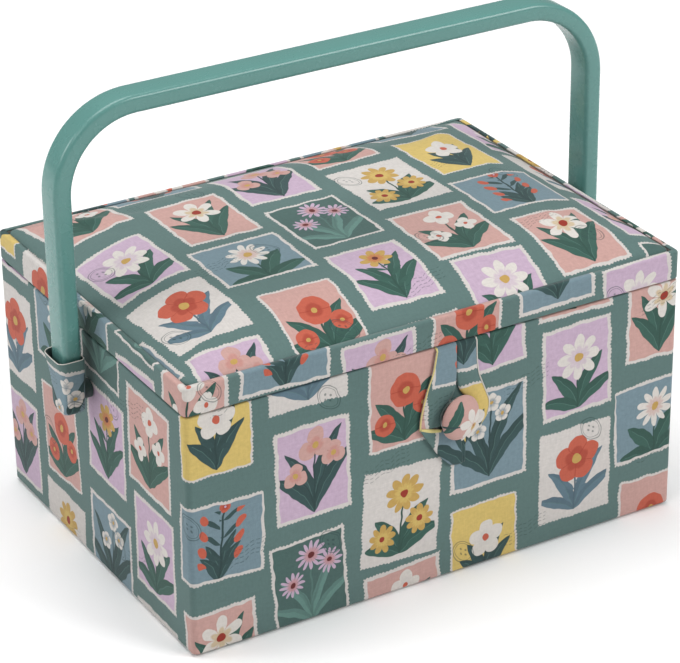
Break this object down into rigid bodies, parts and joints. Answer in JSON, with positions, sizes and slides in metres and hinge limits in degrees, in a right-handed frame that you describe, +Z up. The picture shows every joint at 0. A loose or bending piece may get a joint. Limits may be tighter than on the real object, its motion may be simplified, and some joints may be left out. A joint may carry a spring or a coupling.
{
  "type": "sewing basket",
  "caption": "Rectangular cloth-covered sewing box with a padded hinged lid, a plastic bail handle, a cloth loop over a covered button, and a divided tray inside.",
  "frame": {"origin": "middle of the base, on the plane the basket stands on", "axes": "+X along the front, to the right of someone facing it; -Y out of the front; +Z up"},
  "size_m": [0.3656, 0.2443, 0.288],
  "materials": {
    "printed_cotton": "matte plain-weave cotton with a printed pattern",
    "lining_cloth": "matte plain cotton",
    "grey_board": "matte board",
    "tray_plastic": "glossy moulded",
    "handle_plastic": "satin moulded",
    "bush_plastic": "satin moulded",
    "zinc_steel": "zinc plated",
    "button_cloth": "matte plain-weave cotton stretched over a shell",
    "pincushion_cloth": "matte plain-weave cotton over stuffing",
    "wadding": "soft polyester wadding",
    "elastic": "ribbed woven elastic"
  },
  "bodies": {
    "box": {"base_cover": "printed_cotton", "body_cover": "printed_cotton", "hinge_strip": "printed_cotton", "base_board": "grey_board", "front_board": "grey_board", "back_board": "grey_board", "left_board": "grey_board", "right_board": "grey_board", "lining_base": "lining_cloth", "lining_front": "lining_cloth", "lining_back": "lining_cloth", "lining_left": "lining_cloth", "lining_right": "lining_cloth", "tray_ledge_front": "lining_cloth", "tray_ledge_back": "lining_cloth", "tray": "tray_plastic", "pivot_bush_left": "bush_plastic", "pivot_bush_right": "bush_plastic", "pivot_screw_left": "zinc_steel", "pivot_screw_right": "zinc_steel", "pivot_nut_left": "zinc_steel", "pivot_nut_right": "zinc_steel", "button_shell": "button_cloth", "button_back": "zinc_steel", "button_washer": "zinc_steel"},
    "lid": {"rim_front_board": "grey_board", "rim_back_board": "grey_board", "rim_left_board": "grey_board", "rim_right_board": "grey_board", "lid_rim_cover": "printed_cotton", "rim_lining": "lining_cloth", "lid_lining": "lining_cloth", "lid_board": "grey_board", "lid_wadding": "wadding", "lid_top_cover": "printed_cotton", "pincushion": "pincushion_cloth", "lid_pocket": "lining_cloth", "pocket_elastic": "elastic"},
    "bail": {"handle": "handle_plastic", "sleeve_left": "printed_cotton", "sleeve_right": "printed_cotton"},
    "loop": {"closure_loop": "printed_cotton"}
  },
  "joints": [
    {"name": "lid_hinge", "type": "hinge", "parent": "box", "child": "lid", "pos_m": [0, 0.1172, 0.14945], "axis": [-1, 0, 0], "range_deg": [0, 100], "deforming": ["hinge_strip"]},
    {"name": "handle_swing", "type": "hinge", "parent": "box", "child": "bail", "pos_m": [0, 0, 0.116], "axis": [-1, 0, 0], "range_deg": [0, 90]},
    {"name": "loop_flip", "type": "hinge", "parent": "lid", "child": "loop", "pos_m": [0.008, -0.1176, 0.14945], "axis": [-1, 0, 0], "range_deg": [0, 110], "deforming": ["closure_loop"]}
  ],
  "couplings": [
    {"joint": "handle_swing", "follows": "lid_hinge", "ratio": 0.9}
  ]
}
